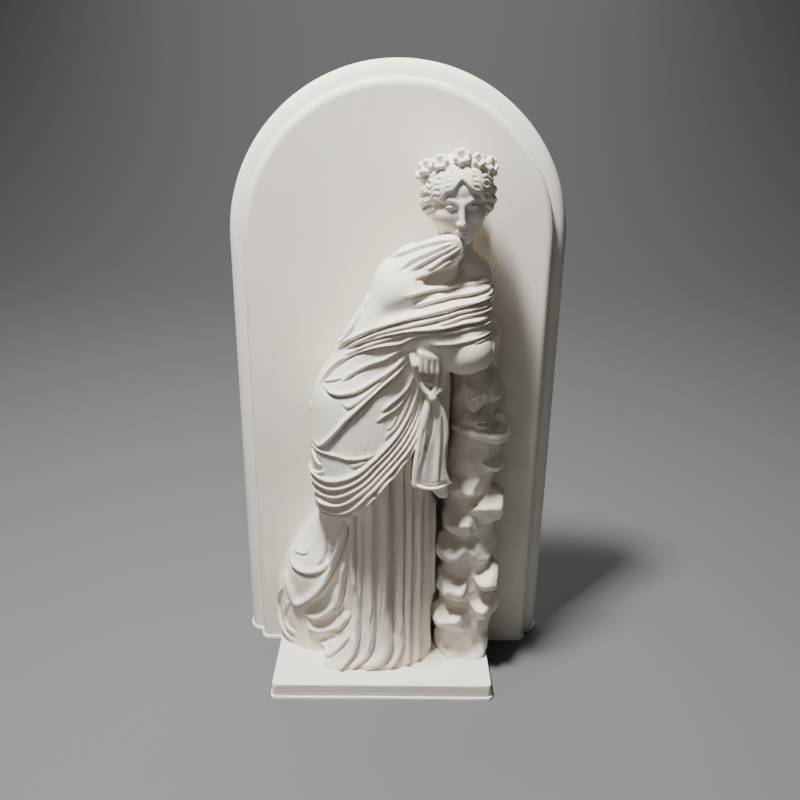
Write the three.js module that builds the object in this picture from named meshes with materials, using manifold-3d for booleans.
// A small plaster cast of a muse in a cloak who leans on a rock, on a plinth, in front of an arched panel.
// The whole work is poured in one piece, so it is one closed solid.
// Millimetres. X to the right, Y to the back, Z up, origin under the middle of the footprint.
import * as THREE from "three";
import { mergeVertices } from "three/addons/utils/BufferGeometryUtils.js";
import Module from "manifold-3d";

// Driving dimensions
const PANEL_WIDTH = 111;
const PANEL_HEIGHT = 207;
const PANEL_THICKNESS = 12;
const EDGE_ROUND = 4.8; // quarter round at the panel's outer edge
const EDGE_STRAIGHT = 2; // plain edge behind the quarter round
const STEP_WIDTH = 0.5; // flat fillet between the quarter round and the riser
const FACE_ROUND = 2.6; // rounded arris of the raised face
const PLINTH_LEFT = 42; // reach of the plinth to the left of the panel's middle
const PLINTH_RIGHT = 34;
const PLINTH_DEPTH = 33.4; // from the panel's face to the plinth's front
const PLINTH_HEIGHT = 6;
const PLINTH_CORNER = 1.6;
const PLINTH_ARRIS = 0.6;
const LIP_WIDTH = 0.6; // casting lip round the foot
const LIP_HEIGHT = 1.1;
const FIGURE_HEIGHT = 176; // from the plinth's top to the top of the wreath
const ROCK_WIDTH = 20.4;
const HEAD_HEIGHT = 27.4; // chin to the top of the wreath

// The modelling grain, and how many facets the carved part keeps
const GRAIN = 1.2;
const CARVED_FACETS = 8200;
const ARC_STEPS = 18;
const ROUND_STEPS = 4;
const EMBED = 1.5; // how far the figure and the plinth run into what carries them

// The figure is carved at a height of 176 and then brought to its real height
const CARVED_HEIGHT = 176;
const figureScale = FIGURE_HEIGHT / CARVED_HEIGHT;
const DEPTH = PANEL_THICKNESS + PLINTH_DEPTH + LIP_WIDTH;
const backY = DEPTH / 2;
const faceY = backY - PANEL_THICKNESS;

const wasm = await Module();
wasm.setup();

// Small helpers for numbers and curves
const clamp = (v, low, high) => Math.min(high, Math.max(low, v));
const mix = (a, b, t) => a + (b - a) * t;
const smooth = (t) => {
  const c = clamp(t, 0, 1);
  return c * c * (3 - 2 * c);
};
const blended = (a, b, k) => {
  const h = Math.max(k - Math.abs(a - b), 0) / k;
  return Math.min(a, b) - (h * h * k) / 4;
};
// Pseudo-random number from 0 to 1, the same for the same seed.
const chance = (seed) => {
  const s = Math.sin(seed * 127.1 + 11.7) * 43758.5453;
  return s - Math.floor(s);
};
// A smooth curve through [position, value, value, ...] rows, read at a position.
function rowsAt(rows, position) {
  const last = rows.length - 1;
  const p = clamp(position, rows[0][0], rows[last][0]);
  let i = 0;
  while (i < last - 1 && rows[i + 1][0] < p) i++;
  const a = rows[Math.max(i - 1, 0)];
  const b = rows[i];
  const c = rows[i + 1];
  const d = rows[Math.min(i + 2, last)];
  const t = (p - b[0]) / (c[0] - b[0]);
  return b.slice(1).map((_, k) => {
    const j = k + 1;
    const slopeB = ((c[j] - a[j]) / (c[0] - a[0])) * (c[0] - b[0]);
    const slopeC = ((d[j] - b[j]) / (d[0] - b[0])) * (c[0] - b[0]);
    return (
      (2 * t ** 3 - 3 * t ** 2 + 1) * b[j] +
      (t ** 3 - 2 * t ** 2 + t) * slopeB +
      (3 * t ** 2 - 2 * t ** 3) * c[j] +
      (t ** 3 - t ** 2) * slopeC
    );
  });
}

// Shapes to model with: each has the box it fills and its distance at a point, negative inside
function ball([cx, cy, cz], [rx, ry, rz]) {
  return {
    low: [cx - rx, cy - ry, cz - rz],
    high: [cx + rx, cy + ry, cz + rz],
    distance(x, y, z) {
      const a = (x - cx) / rx;
      const b = (y - cy) / ry;
      const c = (z - cz) / rz;
      const near = Math.sqrt(a * a + b * b + c * c);
      const slope = Math.sqrt((a / rx) ** 2 + (b / ry) ** 2 + (c / rz) ** 2);
      return slope < 1e-6 ? -Math.min(rx, ry, rz) : (near * (near - 1)) / slope;
    },
  };
}

// A limb of round section from one point to another; flat is its depth as a share of its width.
function limb(from, to, fromRadius, toRadius, flat = 1) {
  const reach = Math.max(fromRadius, toRadius);
  const along = [0, 1, 2].map((i) => (to[i] - from[i]) / (i === 1 ? flat : 1));
  const length2 = along.reduce((sum, v) => sum + v * v, 0);
  return {
    low: from.map((v, i) => Math.min(v, to[i]) - reach),
    high: from.map((v, i) => Math.max(v, to[i]) + reach),
    distance(x, y, z) {
      const a = x - from[0];
      const b = (y - from[1]) / flat;
      const c = z - from[2];
      const t = clamp((a * along[0] + b * along[1] + c * along[2]) / length2, 0, 1);
      const off = Math.sqrt((a - along[0] * t) ** 2 + (b - along[1] * t) ** 2 + (c - along[2] * t) ** 2);
      return (off - mix(fromRadius, toRadius, t)) * Math.min(1, flat);
    },
  };
}

// A standing body whose oval section changes with height: rows of [z, middle x, middle y, half width, half depth].
function column(rows) {
  const reachOf = (sign, middle, half) => rows.map((r) => r[middle] + sign * r[half]);
  const bottom = rows[0][0];
  const top = rows[rows.length - 1][0];
  let level = null;
  let section = null;
  return {
    low: [Math.min(...reachOf(-1, 1, 3)), Math.min(...reachOf(-1, 2, 4)), bottom],
    high: [Math.max(...reachOf(1, 1, 3)), Math.max(...reachOf(1, 2, 4)), top],
    distance(x, y, z) {
      if (z !== level) {
        level = z;
        section = rowsAt(rows, z);
      }
      const [cx, cy, halfWidth, halfDepth] = section;
      const dx = x - cx;
      const dy = y - cy;
      const share = Math.sqrt((dx / halfWidth) ** 2 + (dy / halfDepth) ** 2);
      const out = share < 0.05 ? -Math.min(halfWidth, halfDepth) : Math.sqrt(dx * dx + dy * dy) * (1 - 1 / share);
      return Math.max(out, z - top, bottom - z);
    },
  };
}

// A block with chiselled faces: flat cuts at random slants round a middle point.
function chiselled([cx, cy, cz], [rx, ry, rz], seed, cuts = 13) {
  const faces = Array.from({ length: cuts }, (_, i) => {
    const turn = i * 2.4 + chance(seed + i) * 1.2;
    const rise = clamp(1 - (2 * (i + 0.5)) / cuts + (chance(seed * 3 + i) - 0.5) * 0.3, -1, 1);
    const flat = Math.sqrt(1 - rise * rise);
    return [Math.cos(turn) * flat, Math.sin(turn) * flat, rise, 0.8 + 0.16 * chance(seed * 7 + i)];
  });
  return {
    low: [cx - rx, cy - ry, cz - rz],
    high: [cx + rx, cy + ry, cz + rz],
    distance(x, y, z) {
      const p = [(x - cx) / rx, (y - cy) / ry, (z - cz) / rz];
      let out = -1;
      for (const [nx, ny, nz, size] of faces) {
        out = -blended(-out, -(p[0] * nx + p[1] * ny + p[2] * nz - size), 0.16);
      }
      return out * Math.min(rx, ry, rz);
    },
  };
}

// The clay: a block of grains that shapes are added to and folds are pressed into.
class Clay {
  constructor(low, high, grain) {
    this.low = low;
    this.grain = grain;
    this.count = low.map((v, i) => Math.ceil((high[i] - v) / grain) + 1);
    this.step = [1, this.count[0], this.count[0] * this.count[1]];
    this.grains = new Float32Array(this.count[0] * this.count[1] * this.count[2]).fill(1e3);
  }

  // Changes every grain in a box: change gets its value and its place and gives back its new value.
  each(low, high, change) {
    const from = low.map((v, i) => clamp(Math.floor((v - this.low[i]) / this.grain), 0, this.count[i] - 1));
    const to = high.map((v, i) => clamp(Math.ceil((v - this.low[i]) / this.grain), 0, this.count[i] - 1));
    for (let k = from[2]; k <= to[2]; k++) {
      const z = this.low[2] + k * this.grain;
      for (let j = from[1]; j <= to[1]; j++) {
        const y = this.low[1] + j * this.grain;
        for (let i = from[0]; i <= to[0]; i++) {
          const at = i + j * this.step[1] + k * this.step[2];
          this.grains[at] = change(this.grains[at], this.low[0] + i * this.grain, y, z);
        }
      }
    }
  }

  grown(shape, by) {
    return [shape.low.map((v) => v - by), shape.high.map((v) => v + by)];
  }

  add(shape, blend = 2) {
    const [low, high] = this.grown(shape, 8 + blend);
    this.each(low, high, (v, x, y, z) => blended(v, shape.distance(x, y, z), blend));
  }

  cut(shape, blend = 1) {
    const [low, high] = this.grown(shape, 2 + blend);
    this.each(low, high, (v, x, y, z) => -blended(-v, shape.distance(x, y, z), blend));
  }

  // Makes the values true distances near the skin, so that a fold's height is in millimetres.
  settle() {
    const old = this.grains.slice();
    const near = 9;
    for (let k = 1; k < this.count[2] - 1; k++) {
      for (let j = 1; j < this.count[1] - 1; j++) {
        for (let i = 1; i < this.count[0] - 1; i++) {
          const at = i + j * this.step[1] + k * this.step[2];
          if (Math.abs(old[at]) > near) continue;
          const slope = this.step.map((s) => (old[at + s] - old[at - s]) / (2 * this.grain));
          this.grains[at] = old[at] / clamp(Math.hypot(...slope), 0.35, 2.5);
        }
      }
    }
  }

  value(x, y, z) {
    const g = [x, y, z].map((v, i) => clamp((v - this.low[i]) / this.grain, 0, this.count[i] - 1.001));
    const [i, j, k] = g.map(Math.floor);
    const [u, v, w] = g.map((n) => n - Math.floor(n));
    const at = (a, b, c) => this.grains[i + a + (j + b) * this.step[1] + (k + c) * this.step[2]];
    const row = (b, c) => mix(at(0, b, c), at(1, b, c), u);
    return mix(mix(row(0, 0), row(1, 0), v), mix(row(0, 1), row(1, 1), v), w);
  }

  // Where the skin is, seen from the front at x and z.
  skinY(x, z) {
    const start = this.low[1];
    for (let y = start; y < 0; y += this.grain / 2) {
      if (this.value(x, y, z) < 0) return y;
    }
    return 0;
  }

  normal(x, y, z) {
    const h = this.grain;
    return new THREE.Vector3(
      this.value(x + h, y, z) - this.value(x - h, y, z),
      this.value(x, y + h, z) - this.value(x, y - h, z),
      this.value(x, y, z + h) - this.value(x, y, z - h),
    ).normalize();
  }

  // A fold along a line of [x, z] points on the front of the skin. It stands up by rise over about
  // twice width, and a crease of depth crease runs along its lower side.
  fold(points, { width = 1.3, rise = 1, crease = 0, ends = 0.15 }) {
    const curve = new THREE.CatmullRomCurve3(points.map(([x, z]) => new THREE.Vector3(x, 0, z)), false, "centripetal");
    const steps = Math.max(8, Math.ceil(curve.getLength() / this.grain));
    const line = curve.getSpacedPoints(steps).map((p) => new THREE.Vector3(p.x, this.frontOf(p.x, p.z), p.z));
    const marks = line.map((p, i) => {
      const along = line[Math.min(i + 1, steps)].clone().sub(line[Math.max(i - 1, 0)]).normalize();
      const out = this.normal(p.x, p.y, p.z);
      const t = i / steps;
      const strength = smooth(Math.min(t, 1 - t) / Math.max(ends, 1e-3));
      return { p, out, side: along.cross(out).normalize(), strength };
    });
    const reach = width * 3 + 1.5;
    const box = new THREE.Box3().setFromPoints(line).expandByScalar(reach);
    this.each(box.min.toArray(), box.max.toArray(), (v, x, y, z) => {
      if (Math.abs(v) > 5) return v;
      let best = reach * reach;
      let mark = null;
      for (const m of marks) {
        const away = (x - m.p.x) ** 2 + (y - m.p.y) ** 2 + (z - m.p.z) ** 2;
        if (away < best) {
          best = away;
          mark = m;
        }
      }
      if (!mark) return v;
      const across = (x - mark.p.x) * mark.side.x + (y - mark.p.y) * mark.side.y + (z - mark.p.z) * mark.side.z;
      const ridge = rise * Math.exp(-((across / width) ** 2));
      const groove = crease * Math.exp(-(((across + width * 1.25) / (width * 0.55)) ** 2));
      return v - (ridge - groove) * mark.strength;
    });
  }

  keepFront() {
    const [nx, , nz] = this.count;
    this.front = new Float32Array(nx * nz);
    for (let k = 0; k < nz; k++) {
      for (let i = 0; i < nx; i++) {
        this.front[i + k * nx] = this.skinY(this.low[0] + i * this.grain, this.low[2] + k * this.grain);
      }
    }
  }

  frontOf(x, z) {
    const u = clamp((x - this.low[0]) / this.grain, 0, this.count[0] - 1.001);
    const w = clamp((z - this.low[2]) / this.grain, 0, this.count[2] - 1.001);
    const i = Math.floor(u);
    const k = Math.floor(w);
    const at = (a, c) => this.front[i + a + (k + c) * this.count[0]];
    return mix(mix(at(0, 0), at(1, 0), u - i), mix(at(0, 1), at(1, 1), u - i), w - k);
  }

  // The skin as triangles: each cube of grains is read as six tetrahedra round its long diagonal.
  skin() {
    const orders = [[0, 1, 2], [1, 2, 0], [2, 0, 1], [0, 2, 1], [2, 1, 0], [1, 0, 2]];
    const solids = orders.map((order, n) => {
      const corners = [0, 1 << order[0], (1 << order[0]) | (1 << order[1]), 7];
      return n < 3 ? corners : [corners[0], corners[1], corners[3], corners[2]];
    });
    const offset = (c) => (c & 1) * this.step[0] + ((c >> 1) & 1) * this.step[1] + ((c >> 2) & 1) * this.step[2];
    const offsets = Array.from({ length: 8 }, (_, c) => offset(c));
    const known = new Int32Array(this.grains.length * 7).fill(-1);
    const places = [];
    const faces = [];
    const placeOf = (at) => {
      const k = Math.floor(at / this.step[2]);
      const j = Math.floor((at - k * this.step[2]) / this.step[1]);
      return [at - k * this.step[2] - j * this.step[1], j, k].map((n, i) => this.low[i] + n * this.grain);
    };
    const crossing = (base, a, b) => {
      const low = Math.min(a, b);
      const key = (base + offsets[low]) * 7 + (a ^ b) - 1;
      if (known[key] >= 0) return known[key];
      const va = this.grains[base + offsets[a]];
      const vb = this.grains[base + offsets[b]];
      const t = clamp(va / (va - vb), 0.03, 0.97);
      const pa = placeOf(base + offsets[a]);
      const pb = placeOf(base + offsets[b]);
      known[key] = places.length / 3;
      places.push(...pa.map((v, i) => mix(v, pb[i], t)));
      return known[key];
    };
    const turns = [[0, 1, 2, 3], [1, 0, 3, 2], [2, 3, 0, 1], [3, 2, 1, 0]];
    const pairs = { 3: [0, 1, 2, 3], 5: [0, 2, 3, 1], 9: [0, 3, 1, 2], 6: [1, 2, 0, 3], 10: [1, 3, 2, 0], 12: [2, 3, 0, 1] };
    for (let k = 0; k < this.count[2] - 1; k++) {
      for (let j = 0; j < this.count[1] - 1; j++) {
        for (let i = 0; i < this.count[0] - 1; i++) {
          const base = i + j * this.step[1] + k * this.step[2];
          const full = offsets.filter((o) => this.grains[base + o] < 0).length;
          if (full === 0 || full === 8) continue;
          for (const corners of solids) {
            const inside = corners.map((c) => this.grains[base + offsets[c]] < 0);
            const code = inside.reduce((sum, v, n) => sum + (v ? 1 << n : 0), 0);
            const edge = (a, b) => crossing(base, corners[a], corners[b]);
            const many = inside.filter(Boolean).length;
            if (many === 1) {
              const [a, b, c, d] = turns[inside.indexOf(true)];
              faces.push(edge(a, b), edge(a, c), edge(a, d));
            } else if (many === 3) {
              const [a, b, c, d] = turns[inside.indexOf(false)];
              faces.push(edge(a, c), edge(a, b), edge(a, d));
            } else if (many === 2) {
              const [a, b, c, d] = pairs[code];
              const ring = [edge(a, c), edge(a, d), edge(b, d), edge(b, c)];
              faces.push(ring[0], ring[1], ring[2], ring[0], ring[2], ring[3]);
            }
          }
        }
      }
    }
    return { places, faces };
  }
}

// Fewer, larger facets: the edge whose loss changes the form least is closed, again and again.
// care tells how much the form matters at a place.
function faceted({ places, faces }, wanted, care) {
  const at = Float64Array.from(places);
  const tri = Int32Array.from(faces);
  const vertexCount = at.length / 3;
  const around = Array.from({ length: vertexCount }, () => []);
  const error = new Float64Array(vertexCount * 10);
  const version = new Int32Array(vertexCount);
  const planeOf = (a, b, c) => {
    const u = [0, 1, 2].map((i) => at[b * 3 + i] - at[a * 3 + i]);
    const v = [0, 1, 2].map((i) => at[c * 3 + i] - at[a * 3 + i]);
    const n = [u[1] * v[2] - u[2] * v[1], u[2] * v[0] - u[0] * v[2], u[0] * v[1] - u[1] * v[0]];
    return [...n, Math.hypot(...n)];
  };
  for (let f = 0; f < tri.length; f += 3) {
    const corners = [tri[f], tri[f + 1], tri[f + 2]];
    const [nx, ny, nz, area] = planeOf(...corners);
    corners.forEach((v) => around[v].push(f));
    if (area < 1e-9) continue;
    const n = [nx / area, ny / area, nz / area];
    const d = -(n[0] * at[corners[0] * 3] + n[1] * at[corners[0] * 3 + 1] + n[2] * at[corners[0] * 3 + 2]);
    const terms = [
      n[0] * n[0], n[0] * n[1], n[0] * n[2], n[0] * d, n[1] * n[1],
      n[1] * n[2], n[1] * d, n[2] * n[2], n[2] * d, d * d,
    ];
    const weight = area * care(...at.slice(corners[0] * 3, corners[0] * 3 + 3));
    for (const v of corners) terms.forEach((t, i) => (error[v * 10 + i] += t * weight));
  }
  const costAt = (q, x, y, z) =>
    q[0] * x * x + 2 * q[1] * x * y + 2 * q[2] * x * z + 2 * q[3] * x + q[4] * y * y +
    2 * q[5] * y * z + 2 * q[6] * y + q[7] * z * z + 2 * q[8] * z + q[9];
  const bestPlace = (a, b) => {
    const q = Array.from({ length: 10 }, (_, i) => error[a * 10 + i] + error[b * 10 + i]);
    const m = new THREE.Matrix3().set(q[0], q[1], q[2], q[1], q[4], q[5], q[2], q[5], q[7]);
    const half = [0, 1, 2].map((i) => (at[a * 3 + i] + at[b * 3 + i]) / 2);
    const span = Math.hypot(...[0, 1, 2].map((i) => at[a * 3 + i] - at[b * 3 + i]));
    let place = half;
    if (Math.abs(m.determinant()) > 1e-4) {
      const p = new THREE.Vector3(-q[3], -q[6], -q[8]).applyMatrix3(m.invert()).toArray();
      if (Math.hypot(...p.map((v, i) => v - half[i])) < span * 1.5) place = p;
    }
    return { cost: costAt(q, ...place) + span * span * 1e-3, place };
  };
  const heap = [];
  const push = (item) => {
    heap.push(item);
    let i = heap.length - 1;
    while (i > 0 && heap[(i - 1) >> 1].cost > heap[i].cost) {
      [heap[i], heap[(i - 1) >> 1]] = [heap[(i - 1) >> 1], heap[i]];
      i = (i - 1) >> 1;
    }
  };
  const pop = () => {
    const top = heap[0];
    const last = heap.pop();
    if (heap.length) {
      heap[0] = last;
      let i = 0;
      for (;;) {
        const left = 2 * i + 1;
        let least = i;
        if (left < heap.length && heap[left].cost < heap[least].cost) least = left;
        if (left + 1 < heap.length && heap[left + 1].cost < heap[least].cost) least = left + 1;
        if (least === i) break;
        [heap[i], heap[least]] = [heap[least], heap[i]];
        i = least;
      }
    }
    return top;
  };
  const neighbours = (v) => {
    const found = new Set();
    for (const f of around[v]) for (let i = 0; i < 3; i++) found.add(tri[f + i]);
    found.delete(v);
    return found;
  };
  const offer = (a, b) => push({ a, b, stampA: version[a], stampB: version[b], ...bestPlace(a, b) });
  for (let f = 0; f < tri.length; f += 3) {
    for (let i = 0; i < 3; i++) {
      if (tri[f + i] < tri[f + ((i + 1) % 3)]) offer(tri[f + i], tri[f + ((i + 1) % 3)]);
    }
  }
  const turnsOver = (v, other, place) =>
    around[v].some((f) => {
      const corners = [tri[f], tri[f + 1], tri[f + 2]];
      if (corners.includes(other)) return false;
      const before = planeOf(...corners);
      const kept = [0, 1, 2].map((i) => at[v * 3 + i]);
      place.forEach((p, i) => (at[v * 3 + i] = p));
      const after = planeOf(...corners);
      kept.forEach((p, i) => (at[v * 3 + i] = p));
      const dot = before[0] * after[0] + before[1] * after[1] + before[2] * after[2];
      return dot < 0.25 * before[3] * after[3] || after[3] < 1e-3;
    });
  let left = tri.length / 3;
  const gone = new Uint8Array(vertexCount);
  while (left > wanted && heap.length) {
    const { a, b, stampA, stampB, place } = pop();
    if (gone[a] || gone[b] || version[a] !== stampA || version[b] !== stampB) continue;
    const nearB = neighbours(b);
    const shared = [...neighbours(a)].filter((v) => nearB.has(v)).length;
    if (shared !== 2 || turnsOver(a, b, place) || turnsOver(b, a, place)) continue;
    for (let i = 0; i < 10; i++) error[a * 10 + i] += error[b * 10 + i];
    place.forEach((p, i) => (at[a * 3 + i] = p));
    for (const f of around[b]) {
      const corners = [tri[f], tri[f + 1], tri[f + 2]];
      if (corners.includes(a)) {
        left--;
        for (const v of corners) if (v !== b) around[v] = around[v].filter((g) => g !== f);
      } else {
        tri[f + corners.indexOf(b)] = a;
        around[a].push(f);
      }
    }
    around[b] = [];
    gone[b] = 1;
    version[a]++;
    for (const v of neighbours(a)) offer(a, v);
  }
  const keptFaces = new Set(around.flat());
  const numbers = new Map();
  const outPlaces = [];
  const outFaces = [];
  for (const f of keptFaces) {
    for (let i = 0; i < 3; i++) {
      const v = tri[f + i];
      if (!numbers.has(v)) {
        numbers.set(v, numbers.size);
        outPlaces.push(at[v * 3], at[v * 3 + 1], at[v * 3 + 2]);
      }
      outFaces.push(numbers.get(v));
    }
  }
  return { places: outPlaces, faces: outFaces };
}

// Booleans
function solidOf(geometry) {
  const bare = geometry.clone();
  bare.deleteAttribute("normal");
  bare.deleteAttribute("uv");
  const merged = mergeVertices(bare, 1e-4);
  return new wasm.Manifold(
    new wasm.Mesh({
      numProp: 3,
      vertProperties: new Float32Array(merged.attributes.position.array),
      triVerts: new Uint32Array(merged.index.array),
    }),
  );
}

function geometryOf(solid) {
  const mesh = solid.getMesh();
  const geometry = new THREE.BufferGeometry();
  geometry.setAttribute("position", new THREE.BufferAttribute(mesh.vertProperties, 3));
  geometry.setIndex(new THREE.BufferAttribute(mesh.triVerts, 1));
  geometry.computeVertexNormals();
  return geometry;
}

// The panel: a straight-sided arch in two tiers, the outer one rounded to its edge
function archShape(halfWidth, height, below) {
  const shape = new THREE.Shape();
  shape.moveTo(-halfWidth, -below);
  shape.lineTo(halfWidth, -below);
  shape.lineTo(halfWidth, height - halfWidth);
  shape.absarc(0, height - halfWidth, halfWidth, 0, Math.PI, false);
  shape.closePath();
  return shape;
}

// One tier stands on the panel's back, depth thick, with its front arris rounded by round.
function panelTier(inset, depth, round) {
  const margin = 10;
  const shape = archShape(PANEL_WIDTH / 2 - inset - round, PANEL_HEIGHT - inset - round, margin);
  const tier = new THREE.ExtrudeGeometry(shape, {
    depth: depth - round,
    bevelEnabled: true,
    bevelThickness: round,
    bevelSize: round,
    bevelSegments: ROUND_STEPS,
    curveSegments: ARC_STEPS,
  });
  tier.rotateX(Math.PI / 2);
  tier.translate(0, backY, 0);
  // The rounding at the back of the extrusion and all below the floor are cut away.
  const keep = new THREE.BoxGeometry(PANEL_WIDTH * 2, depth, PANEL_HEIGHT * 2);
  keep.translate(0, backY - depth / 2, PANEL_HEIGHT);
  return solidOf(tier).intersect(solidOf(keep));
}

function panel() {
  const outerDepth = EDGE_STRAIGHT + EDGE_ROUND;
  const outer = panelTier(0, outerDepth, EDGE_ROUND);
  const raised = panelTier(EDGE_ROUND + STEP_WIDTH, PANEL_THICKNESS, FACE_ROUND);
  return outer.add(raised);
}

// The plinth, with eased corners, from the floor to the figure's feet
function roundedPlan(left, right, back, front, corner) {
  const shape = new THREE.Shape();
  shape.moveTo(-left, back);
  shape.lineTo(-left, front + corner);
  shape.absarc(-left + corner, front + corner, corner, Math.PI, 1.5 * Math.PI, false);
  shape.absarc(right - corner, front + corner, corner, 1.5 * Math.PI, 2 * Math.PI, false);
  shape.lineTo(right, back);
  shape.closePath();
  return shape;
}

function plinth() {
  const front = faceY - PLINTH_DEPTH;
  const body = new THREE.ExtrudeGeometry(
    roundedPlan(PLINTH_LEFT - PLINTH_ARRIS, PLINTH_RIGHT - PLINTH_ARRIS, faceY + EMBED, front + PLINTH_ARRIS, PLINTH_CORNER),
    {
      depth: PLINTH_HEIGHT - PLINTH_ARRIS,
      bevelEnabled: true,
      bevelThickness: PLINTH_ARRIS,
      bevelSize: PLINTH_ARRIS,
      bevelSegments: 2,
      curveSegments: 4,
    },
  );
  const above = new THREE.BoxGeometry(PANEL_WIDTH * 2, DEPTH * 2, PLINTH_HEIGHT * 2);
  above.translate(0, 0, PLINTH_HEIGHT);
  return solidOf(body).intersect(solidOf(above));
}

// The lip that the open mould leaves round the foot of panel and plinth
function footLip() {
  const strip = (left, right, back, front, corner) =>
    solidOf(
      new THREE.ExtrudeGeometry(roundedPlan(left, right, back, front, corner), {
        depth: LIP_HEIGHT,
        bevelEnabled: false,
        curveSegments: 4,
      }),
    );
  const outerFront = backY - EDGE_STRAIGHT - EDGE_ROUND;
  const half = PANEL_WIDTH / 2;
  const raisedHalf = half - EDGE_ROUND - STEP_WIDTH;
  const outer = strip(half + LIP_WIDTH, half + LIP_WIDTH, backY, outerFront - LIP_WIDTH, EDGE_ROUND + LIP_WIDTH);
  const raised = strip(raisedHalf + LIP_WIDTH, raisedHalf + LIP_WIDTH, backY, faceY - LIP_WIDTH, FACE_ROUND + LIP_WIDTH);
  const front = faceY - PLINTH_DEPTH - LIP_WIDTH;
  const foot = strip(PLINTH_LEFT + LIP_WIDTH, PLINTH_RIGHT + LIP_WIDTH, backY, front, PLINTH_CORNER + LIP_WIDTH);
  return outer.add(raised).add(foot);
}

// The figure, carved in its own frame: Y 0 on the panel's face, Z 0 on the plinth's top, at a height of 176
const ELBOW = [20.4, -21, 117];
const ROCK_TOP = ELBOW[2] - 6.4;
const HEAD_PLACE = [17.4, -17, 162.2];
const HEAD_TURN = 0.04; // to the right, radians
const HEAD_NOD = 0.2;
const HEAD_LEAN = -0.05;

// Sections of the gown and body: height, middle x, middle y, half width, half depth
const GOWN = [
  [-3, -5, -10.5, 19.5, 15.5],
  [7, -5, -10.5, 18.5, 14.2],
  [24, -4.5, -11, 18.5, 12.6],
  [44, -4.5, -12, 19, 12.3],
  [58, -5.5, -13, 19.2, 13],
  [69, -7.5, -13.5, 18.8, 14],
  [86, -8.5, -14, 18.4, 13.6],
  [98, -7.5, -14, 18, 12.4],
  [107, -4.2, -14, 18.4, 11.4],
  [116, 1.8, -14.5, 19.3, 11],
  [124, 6, -15.5, 19.4, 10.8],
  [132, 9.6, -15.5, 17.4, 9.6],
  [139, 12, -14.5, 13.5, 7.8],
  [146, 14.2, -13.5, 8, 5.5],
];

function addBody(clay) {
  clay.add(column(GOWN), 1);
  // What joins the back of the figure to the panel
  clay.add(limb([-6, -4, -2], [-6, -4, 92], 13, 13), 3);
  clay.add(limb([-6, -4, 92], [6, -5, 122], 12, 8), 3);
  // The train, which spreads to the left on the plinth
  clay.add(limb([-18.5, -6, 57], [-25, -4, 30], 7, 13.5, 0.9), 5);
  clay.add(limb([-25, -4, 30], [-26, -2, -2], 13.8, 15.2, 0.9), 4);
  // The raised thigh and the belly under the cloak
  clay.add(limb([-13, -14, 98], [-10, -18.5, 72], 12, 9.5), 6);
}

function addArmsAndShoulders(clay) {
  // The crossing arm: shoulder, upper arm, elbow on the rock, and the forearm up to the chin
  clay.add(limb([3.5, -16.5, 131], [12, -20.5, 123.5], 9.6, 8.6), 5);
  clay.add(limb([12, -20.5, 123.5], ELBOW, 8.6, 7), 4);
  clay.add(ball(ELBOW, [7.6, 8, 7]), 2);
  clay.add(limb(ELBOW, [20.8, -19.5, 133], 6.8, 6.4), 3);
  clay.add(limb([20.8, -21, 133], [18.4, -24, 146], 6, 3.2), 3);
  clay.add(limb([18.4, -24, 146], [17, -25.5, 150.4], 3, 1.5), 2);
  // The bare shoulder at the right, the neck, and the cloak's slope to the other shoulder
  clay.add(ball([22.6, -14.5, 138.5], [6.2, 7, 7.6]), 3);
  clay.add(limb([14.5, -13, 145], [0, -14, 136.5], 5, 7), 4);
  clay.add(limb([17.6, -13.5, 141], [17.8, -15.5, 152], 6, 4.8), 3);
}

function addClothEnds(clay) {
  // The end of the cloak behind the hip, and the loop that falls behind the elbow
  clay.add(limb([-20, -6, 106], [-26.6, -5, 95], 3.2, 2), 3);
  clay.add(limb([26.6, -11, 126], [30.2, -9, 119], 2.2, 2.6, 1.4), 2);
  clay.add(limb([30.2, -9, 119], [28.2, -9, 105], 2.8, 2.2, 1.4), 2);
  // The cloth held in the fist: a hollow and a knot under it, then a tail that spreads to its hem
  clay.add(limb([11, -16, 76], [12, -19, 106], 6, 5), 3);
  clay.add(
    column([
      [70, 11.8, -24, 6, 2.4],
      [74, 11.6, -25, 7.4, 3.4],
      [84, 11.8, -25.5, 5.8, 3.2],
      [94, 12, -25.5, 4.4, 3],
      [101, 11.8, -26, 2.9, 2.6],
      [106, 11.6, -26, 2.4, 2.2],
    ]),
    1.2,
  );
  clay.add(limb([8.4, -26.5, 105], [14, -27.5, 102.5], 1.9, 1.7), 0.8);
  clay.add(limb([9, -26.5, 101], [13.6, -27.5, 106.6], 1.5, 1.5), 0.8);
  clay.add(limb([14, -26, 103], [14.6, -25, 112], 1.6, 1.3), 1);
}

function addFist(clay) {
  // The back of the hand, four fingers bent down over the cloth, and the thumb
  clay.add(limb([13, -20, 116], [8.4, -26, 115], 4.4, 4), 1.5);
  clay.add(ball([8.6, -27, 115.2], [4.6, 3.2, 3.8]), 1);
  for (let finger = 0; finger < 4; finger++) {
    const x = 5.5 + finger * 2.15;
    const knuckle = [x + 0.3, -29.6 + Math.abs(finger - 1.4) * 0.4, 115.6 - finger * 0.5];
    clay.add(limb([x, -27.6, 118.4 - finger * 0.5], knuckle, 1.2, 1.4), 0.5);
    clay.add(limb(knuckle, [x + 0.9, -28, 111.8 - finger * 0.2], 1.35, 1.05), 0.3);
  }
  clay.add(limb([4.4, -25.5, 116], [4.8, -27.6, 111.6], 1.6, 1.2), 0.5);
}

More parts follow.
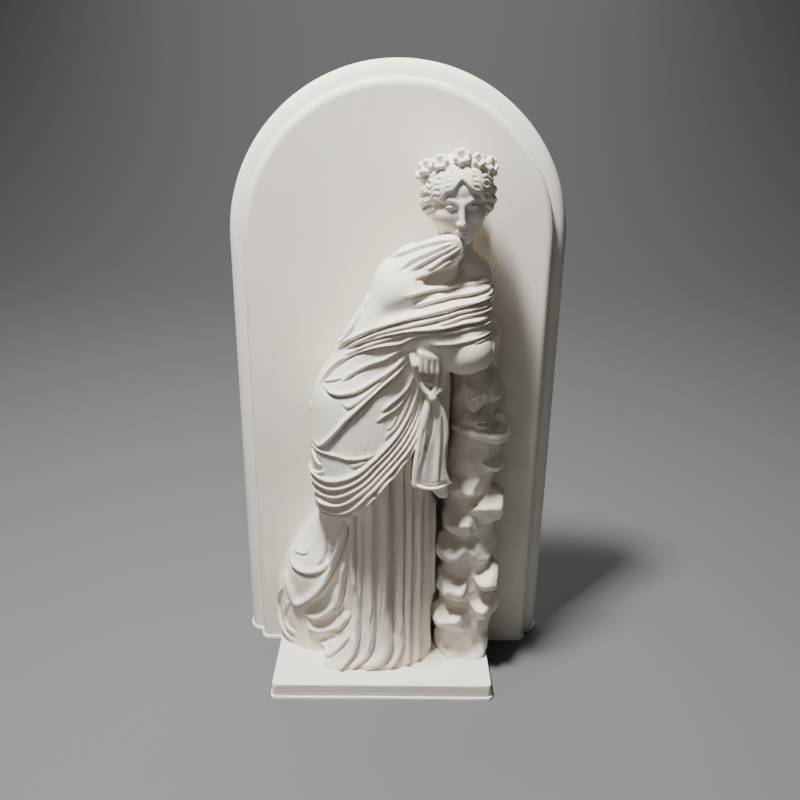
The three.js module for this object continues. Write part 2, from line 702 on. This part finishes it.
// Puts shapes made round the head's own middle in the head's place and pose.
function headPose() {
  const pose = new THREE.Matrix4().makeRotationFromEuler(new THREE.Euler(HEAD_NOD, HEAD_LEAN, HEAD_TURN, "ZYX"));
  const size = HEAD_HEIGHT / 26.5;
  pose.scale(new THREE.Vector3(size, size, size));
  return pose.setPosition(...HEAD_PLACE);
}

function posed(shape, pose) {
  const back = pose.clone().invert().elements;
  const scale = pose.getMaxScaleOnAxis();
  const box = new THREE.Box3(new THREE.Vector3(...shape.low), new THREE.Vector3(...shape.high)).applyMatrix4(pose);
  return {
    low: box.min.toArray(),
    high: box.max.toArray(),
    distance: (x, y, z) =>
      scale *
      shape.distance(
        back[0] * x + back[4] * y + back[8] * z + back[12],
        back[1] * x + back[5] * y + back[9] * z + back[13],
        back[2] * x + back[6] * y + back[10] * z + back[14],
      ),
  };
}

function addHead(clay) {
  const pose = headPose();
  const add = (shape, blend) => clay.add(posed(shape, pose), blend);
  const cut = (shape, blend) => clay.cut(posed(shape, pose), blend);
  // Skull, face and jaw, on plain school proportions
  add(ball([0, 2.4, 2.6], [8.4, 9.4, 8.6]), 1.5);
  add(ball([0, -2.2, -2.4], [7.2, 7.4, 9.4]), 2);
  add(ball([0, -4.4, -8.8], [4, 4, 3]), 2);
  for (const side of [-1, 1]) cut(ball([side * 3.2, -10, -0.8], [2.2, 1.7, 1.1]), 1);
  add(limb([0, -9.2, 0.4], [0, -10.8, -4.2], 0.8, 1.2), 0.8);
  add(ball([0, -9.2, -7], [2.1, 1.1, 0.7]), 0.8);
  // Hair: a cap, locks drawn back over the ears from the parting, a roll at each side and a knot behind
  add(ball([0, 3, 3.6], [9.4, 9.8, 8.6]), 1);
  add(ball([0, 11, -0.5], [4.4, 3.6, 4]), 2);
  for (const side of [-1, 1]) {
    for (let lock = 0; lock < 4; lock++) {
      const top = [side * 0.8, -7.2 + lock * 1.3, 6.4 + lock * 1.1];
      const middle = [side * (6.5 + lock * 0.5), -5 + lock * 1.2, 2.4 + lock * 2];
      const end = [side * 9.8, 0.4 + lock, -2.8 + lock * 2];
      add(limb(top, middle, 0.9, 1.3), 0.5);
      add(limb(middle, end, 1.3, 1.6), 0.5);
    }
    add(ball([side * 9, 2, -3.8], [2.8, 4, 3.6]), 0.8);
  }
  // The wreath: blossoms with a drilled middle round the crown, highest over the brow
  const blossoms = 13;
  for (let i = 0; i < blossoms; i++) {
    const turn = ((i + 0.5) / blossoms) * Math.PI * 2;
    const rise = 9.2 - 2.4 * Math.cos(turn);
    const middle = [8.2 * Math.sin(turn), 2.2 + 7.6 * Math.cos(turn), rise];
    const out = [10.4 * Math.sin(turn), 2.2 + 9.8 * Math.cos(turn), rise + 0.9];
    add(ball(middle, [2.5, 2.5, 2.6]), 0.6);
    cut(ball(out, [1, 1, 1]), 0.4);
  }
}

function addRock(clay) {
  const wide = ROCK_WIDTH / 20.4;
  const middleX = 25.6;
  const middleY = -9.5;
  clay.add(limb([middleX, middleY, -2], [middleX - 0.6, middleY, ROCK_TOP - 9], 9 * wide, 7.8 * wide), 1);
  // Rough blocks one above another, turned to and fro, with the widest at the foot and near the top
  const blocks = 11;
  for (let i = 0; i < blocks; i++) {
    const share = i / (blocks - 1);
    const z = 4 + share * (ROCK_TOP - 13);
    const sway = Math.sin(i * 2.3) * 1.1;
    const middle = [middleX + sway - share, middleY - 0.6 - Math.cos(i * 1.9), z];
    const size = [(10.2 + chance(i) * 0.8) * wide, 9.8 + chance(i + 40), 9.6 + chance(i + 9) * 2];
    clay.add(chiselled(middle, size, i + 3, 11), 2.2);
  }
  // Its top slopes off beside the elbow.
  clay.each([29, -40, ROCK_TOP - 1], [60, -11, ROCK_TOP + 20], (v, x, y, z) => {
    return v < 4 ? Math.max(v, z - (ROCK_TOP + 2.4 - 0.2 * (x - middleX))) : v;
  });
  // The notch under the top block
  clay.cut(ball([27.5, -20.5, ROCK_TOP - 14], [3.4, 2.4, 1.2]), 1);
}

// Folds by the places on the body where they lie. Points are [x, z] seen from the front.
const between = (a, b, t) => a.map((p, i) => [mix(p[0], b[i][0], t), mix(p[1], b[i][1], t)]);

function pressFamily(clay, first, last, count, look) {
  for (let i = 0; i < count; i++) clay.fold(between(first, last, count > 1 ? i / (count - 1) : 0), look);
}

// How far the cloak stands proud of the gown
const CLOAK_THICK = 0.9;
// The cloak's lower edge, from the train side of the hip up to the fist
const CLOAK_EDGE = [
  [-30, 60],
  [-18.5, 60],
  [-14.5, 63.5],
  [-8.5, 70],
  [-3.5, 75.5],
  [1.5, 80.5],
  [5.5, 86],
  [8.3, 93],
  [9.5, 103],
  [12, 112],
];

function pressGown(clay) {
  // Pleats of the gown from the cloak to the floor
  const pleats = [
    [[-15.1, 66], [-14.9, 41], [-13.4, 21], [-15.5, 0]],
    [[-10.5, 70], [-10.4, 41], [-10, 21], [-12.2, 0]],
    [[-5.6, 76], [-5.8, 41], [-6, 21], [-9, 0]],
    [[-0.9, 82], [-1.4, 41], [-1.6, 21], [-4.2, 0]],
    [[3.8, 92], [3.4, 41], [3.1, 21], [1.6, 0]],
    [[6.6, 98], [7.2, 41], [7.4, 21], [7.2, 0]],
    [[10.4, 80], [11, 41], [11.2, 21], [11.6, 0]],
  ];
  pleats.forEach((line, i) => clay.fold(line, { width: 1.25 + (i % 2) * 0.3, rise: 1.4, crease: 1.1, ends: 0.03 }));
  // Swags of the train
  clay.fold([[-36, 39], [-31.4, 33.5], [-25, 34.5], [-20, 46]], { width: 1.4, rise: 1.4, crease: 1 });
  clay.fold([[-38, 34], [-34.4, 22], [-29.7, 22.6], [-22.6, 32], [-16.5, 56]], { width: 1.6, rise: 1.8, crease: 1.3 });
  clay.fold([[-38, 22], [-33, 16.5], [-27, 17], [-19.1, 24], [-15.5, 38]], { width: 1.6, rise: 1.6, crease: 1.2 });
  clay.fold([[-38, 12], [-33, 6], [-26, 6.2], [-19, 13], [-15.6, 24]], { width: 1.4, rise: 1.3, crease: 0.9 });
  clay.fold([[-31, 1], [-25, 1], [-19, 5], [-16, 12]], { width: 1.4, rise: 1.2, crease: 0.8 });
}

function pressCloak(clay) {
  // The cloak lies over the gown, so all above its edge stands proud.
  clay.each([-46, -33, 56], [14, -2, 120], (v, x, y, z) => {
    const edge = rowsAt(CLOAK_EDGE, x)[0];
    const end = smooth((120 - z) / 8) * smooth((14 - x) / 4);
    return Math.abs(v) > 5 ? v : v - CLOAK_THICK * end * smooth((z - edge) / 1.5 + 0.5);
  });
  // Fan from the hand at the chin over the shoulder
  pressFamily(clay, [[15.6, 151], [6, 148], [-3, 142]], [[16.2, 147.6], [11, 145], [2.5, 139.5]], 4,
    { width: 1.1, rise: 0.9, crease: 0.5 });
  // The open edge of the cloak under the chin, with the hollow below it
  clay.fold([[17.4, 145.5], [10.5, 142.5], [5, 138]], { width: 1.5, rise: 0.9, crease: 2.6 });
  // Tight turns round the leaning forearm, drawn to the hip
  clay.fold([[26.4, 140.4], [14.6, 137.5], [5.7, 136.3]], { width: 1.2, rise: 1.1, crease: 1.1 });
  clay.fold([[26.4, 137.7], [16.4, 135.4], [7, 133.1]], { width: 1.1, rise: 0.9, crease: 1 });
  clay.fold([[26.4, 134.6], [11.4, 130.9], [2, 127.7], [-7.6, 125.4], [-15.5, 120]],
    { width: 1.3, rise: 1.3, crease: 1.1 });
  clay.fold([[26.4, 130.4], [11.5, 125.6], [-1.5, 124.4], [-14.5, 119], [-19, 112]],
    { width: 1.2, rise: 1, crease: 0.9 });
  clay.fold([[26.4, 127.6], [19.4, 125.2], [14.2, 124.5]], { width: 1.1, rise: 0.9, crease: 0.8 });
  clay.fold([[26.2, 123.4], [18.2, 120.7], [9.9, 120.6]], { width: 1.1, rise: 0.8, crease: 0.8 });
  // Sagging folds from the fist to the hip
  clay.fold([[5.5, 120], [-7.6, 117.8], [-14.7, 114.4], [-22, 106]], { width: 1.2, rise: 1.1, crease: 0.8 });
  clay.fold([[2.1, 118.5], [-7.6, 113.3], [-15.7, 108], [-22.4, 104]], { width: 1.2, rise: 1, crease: 0.8 });
  clay.fold([[3.6, 116.4], [-1.4, 112], [-7.6, 107.5], [-13.9, 104], [-19.3, 103], [-22.8, 105]],
    { width: 1.2, rise: 1.2, crease: 0.8 });
  clay.fold([[2.4, 112], [-4, 106.7], [-10.3, 101.4], [-16.5, 99.6], [-23.6, 100.6]],
    { width: 1.2, rise: 1.1, crease: 0.7 });
  clay.fold([[3.4, 111], [-5.8, 101], [-15.8, 92.4], [-24.1, 87], [-25.8, 90]], { width: 1.3, rise: 1.4, crease: 0.8 });
  clay.fold([[4.4, 110], [0.4, 102.3], [-5.2, 95], [-14.9, 85], [-25, 81]], { width: 1.2, rise: 1, crease: 0.7 });
  // The rolled edge of the cloak from the fist down to the thigh
  pressFamily(clay, [[5.3, 109.6], [-3.4, 87.6], [-10.3, 79.5], [-17.8, 74.8], [-25, 76]],
    [[7.4, 106.8], [0.8, 84.4], [-5.6, 76], [-13.2, 68], [-22, 64.4]], 4,
    { width: 1.3, rise: 1.7, crease: 0.7, ends: 0.06 });
}

function pressTail(clay) {
  pressFamily(clay, [[10.2, 100], [8.6, 86], [6.4, 73]], [[13.8, 100], [15, 86], [17, 73]], 4,
    { width: 0.9, rise: 1.1, crease: 0.7, ends: 0.05 });
}

function carving() {
  const clay = new Clay([-45, -34, -3], [40, EMBED + 2 * GRAIN, CARVED_HEIGHT + 4], GRAIN);
  addBody(clay);
  addArmsAndShoulders(clay);
  clay.settle();
  clay.keepFront();
  pressGown(clay);
  pressCloak(clay);
  addRock(clay);
  addClothEnds(clay);
  clay.keepFront();
  pressTail(clay);
  addFist(clay);
  addHead(clay);
  // The block ends inside the panel and inside the plinth.
  const margin = 1.5 * GRAIN;
  const end = clay.count.map((n, i) => clay.low[i] + (n - 1) * GRAIN - margin);
  clay.each(clay.low, [99, 99, 999], (v, x, y, z) => {
    const outside = Math.max(clay.low[0] + margin - x, x - end[0], clay.low[1] + margin - y, z - end[2]);
    return Math.max(v, outside, y - EMBED, -EMBED - z);
  });
  // Head and hand keep more facets than the rock, and the back fewest.
  const care = (x, y, z) => {
    if (z > HEAD_PLACE[2] - 13) return 5;
    if (x > 3 && x < 15 && y < -22 && z > 100 && z < 121) return 3;
    return (y > -8 ? 0.3 : 1) * (x > 15 && z < ROCK_TOP ? 0.4 : 1);
  };
  const { places, faces } = faceted(clay.skin(), CARVED_FACETS, care);
  const geometry = new THREE.BufferGeometry();
  geometry.setAttribute("position", new THREE.BufferAttribute(new Float32Array(places), 3));
  geometry.setIndex(faces);
  geometry.scale(figureScale, figureScale, figureScale);
  geometry.translate(0, faceY, PLINTH_HEIGHT);
  return geometry;
}

const solid = panel().add(footLip()).add(plinth()).add(solidOf(carving()));
const largest = solid.decompose().sort((a, b) => b.volume() - a.volume())[0];

const plaster = new THREE.MeshStandardMaterial({ color: 0xe9e5da, roughness: 0.85, metalness: 0 });
const statue = new THREE.Mesh(geometryOf(largest), plaster);
statue.name = "muse_statue";

const work = new THREE.Group();
work.add(statue);

export default work;
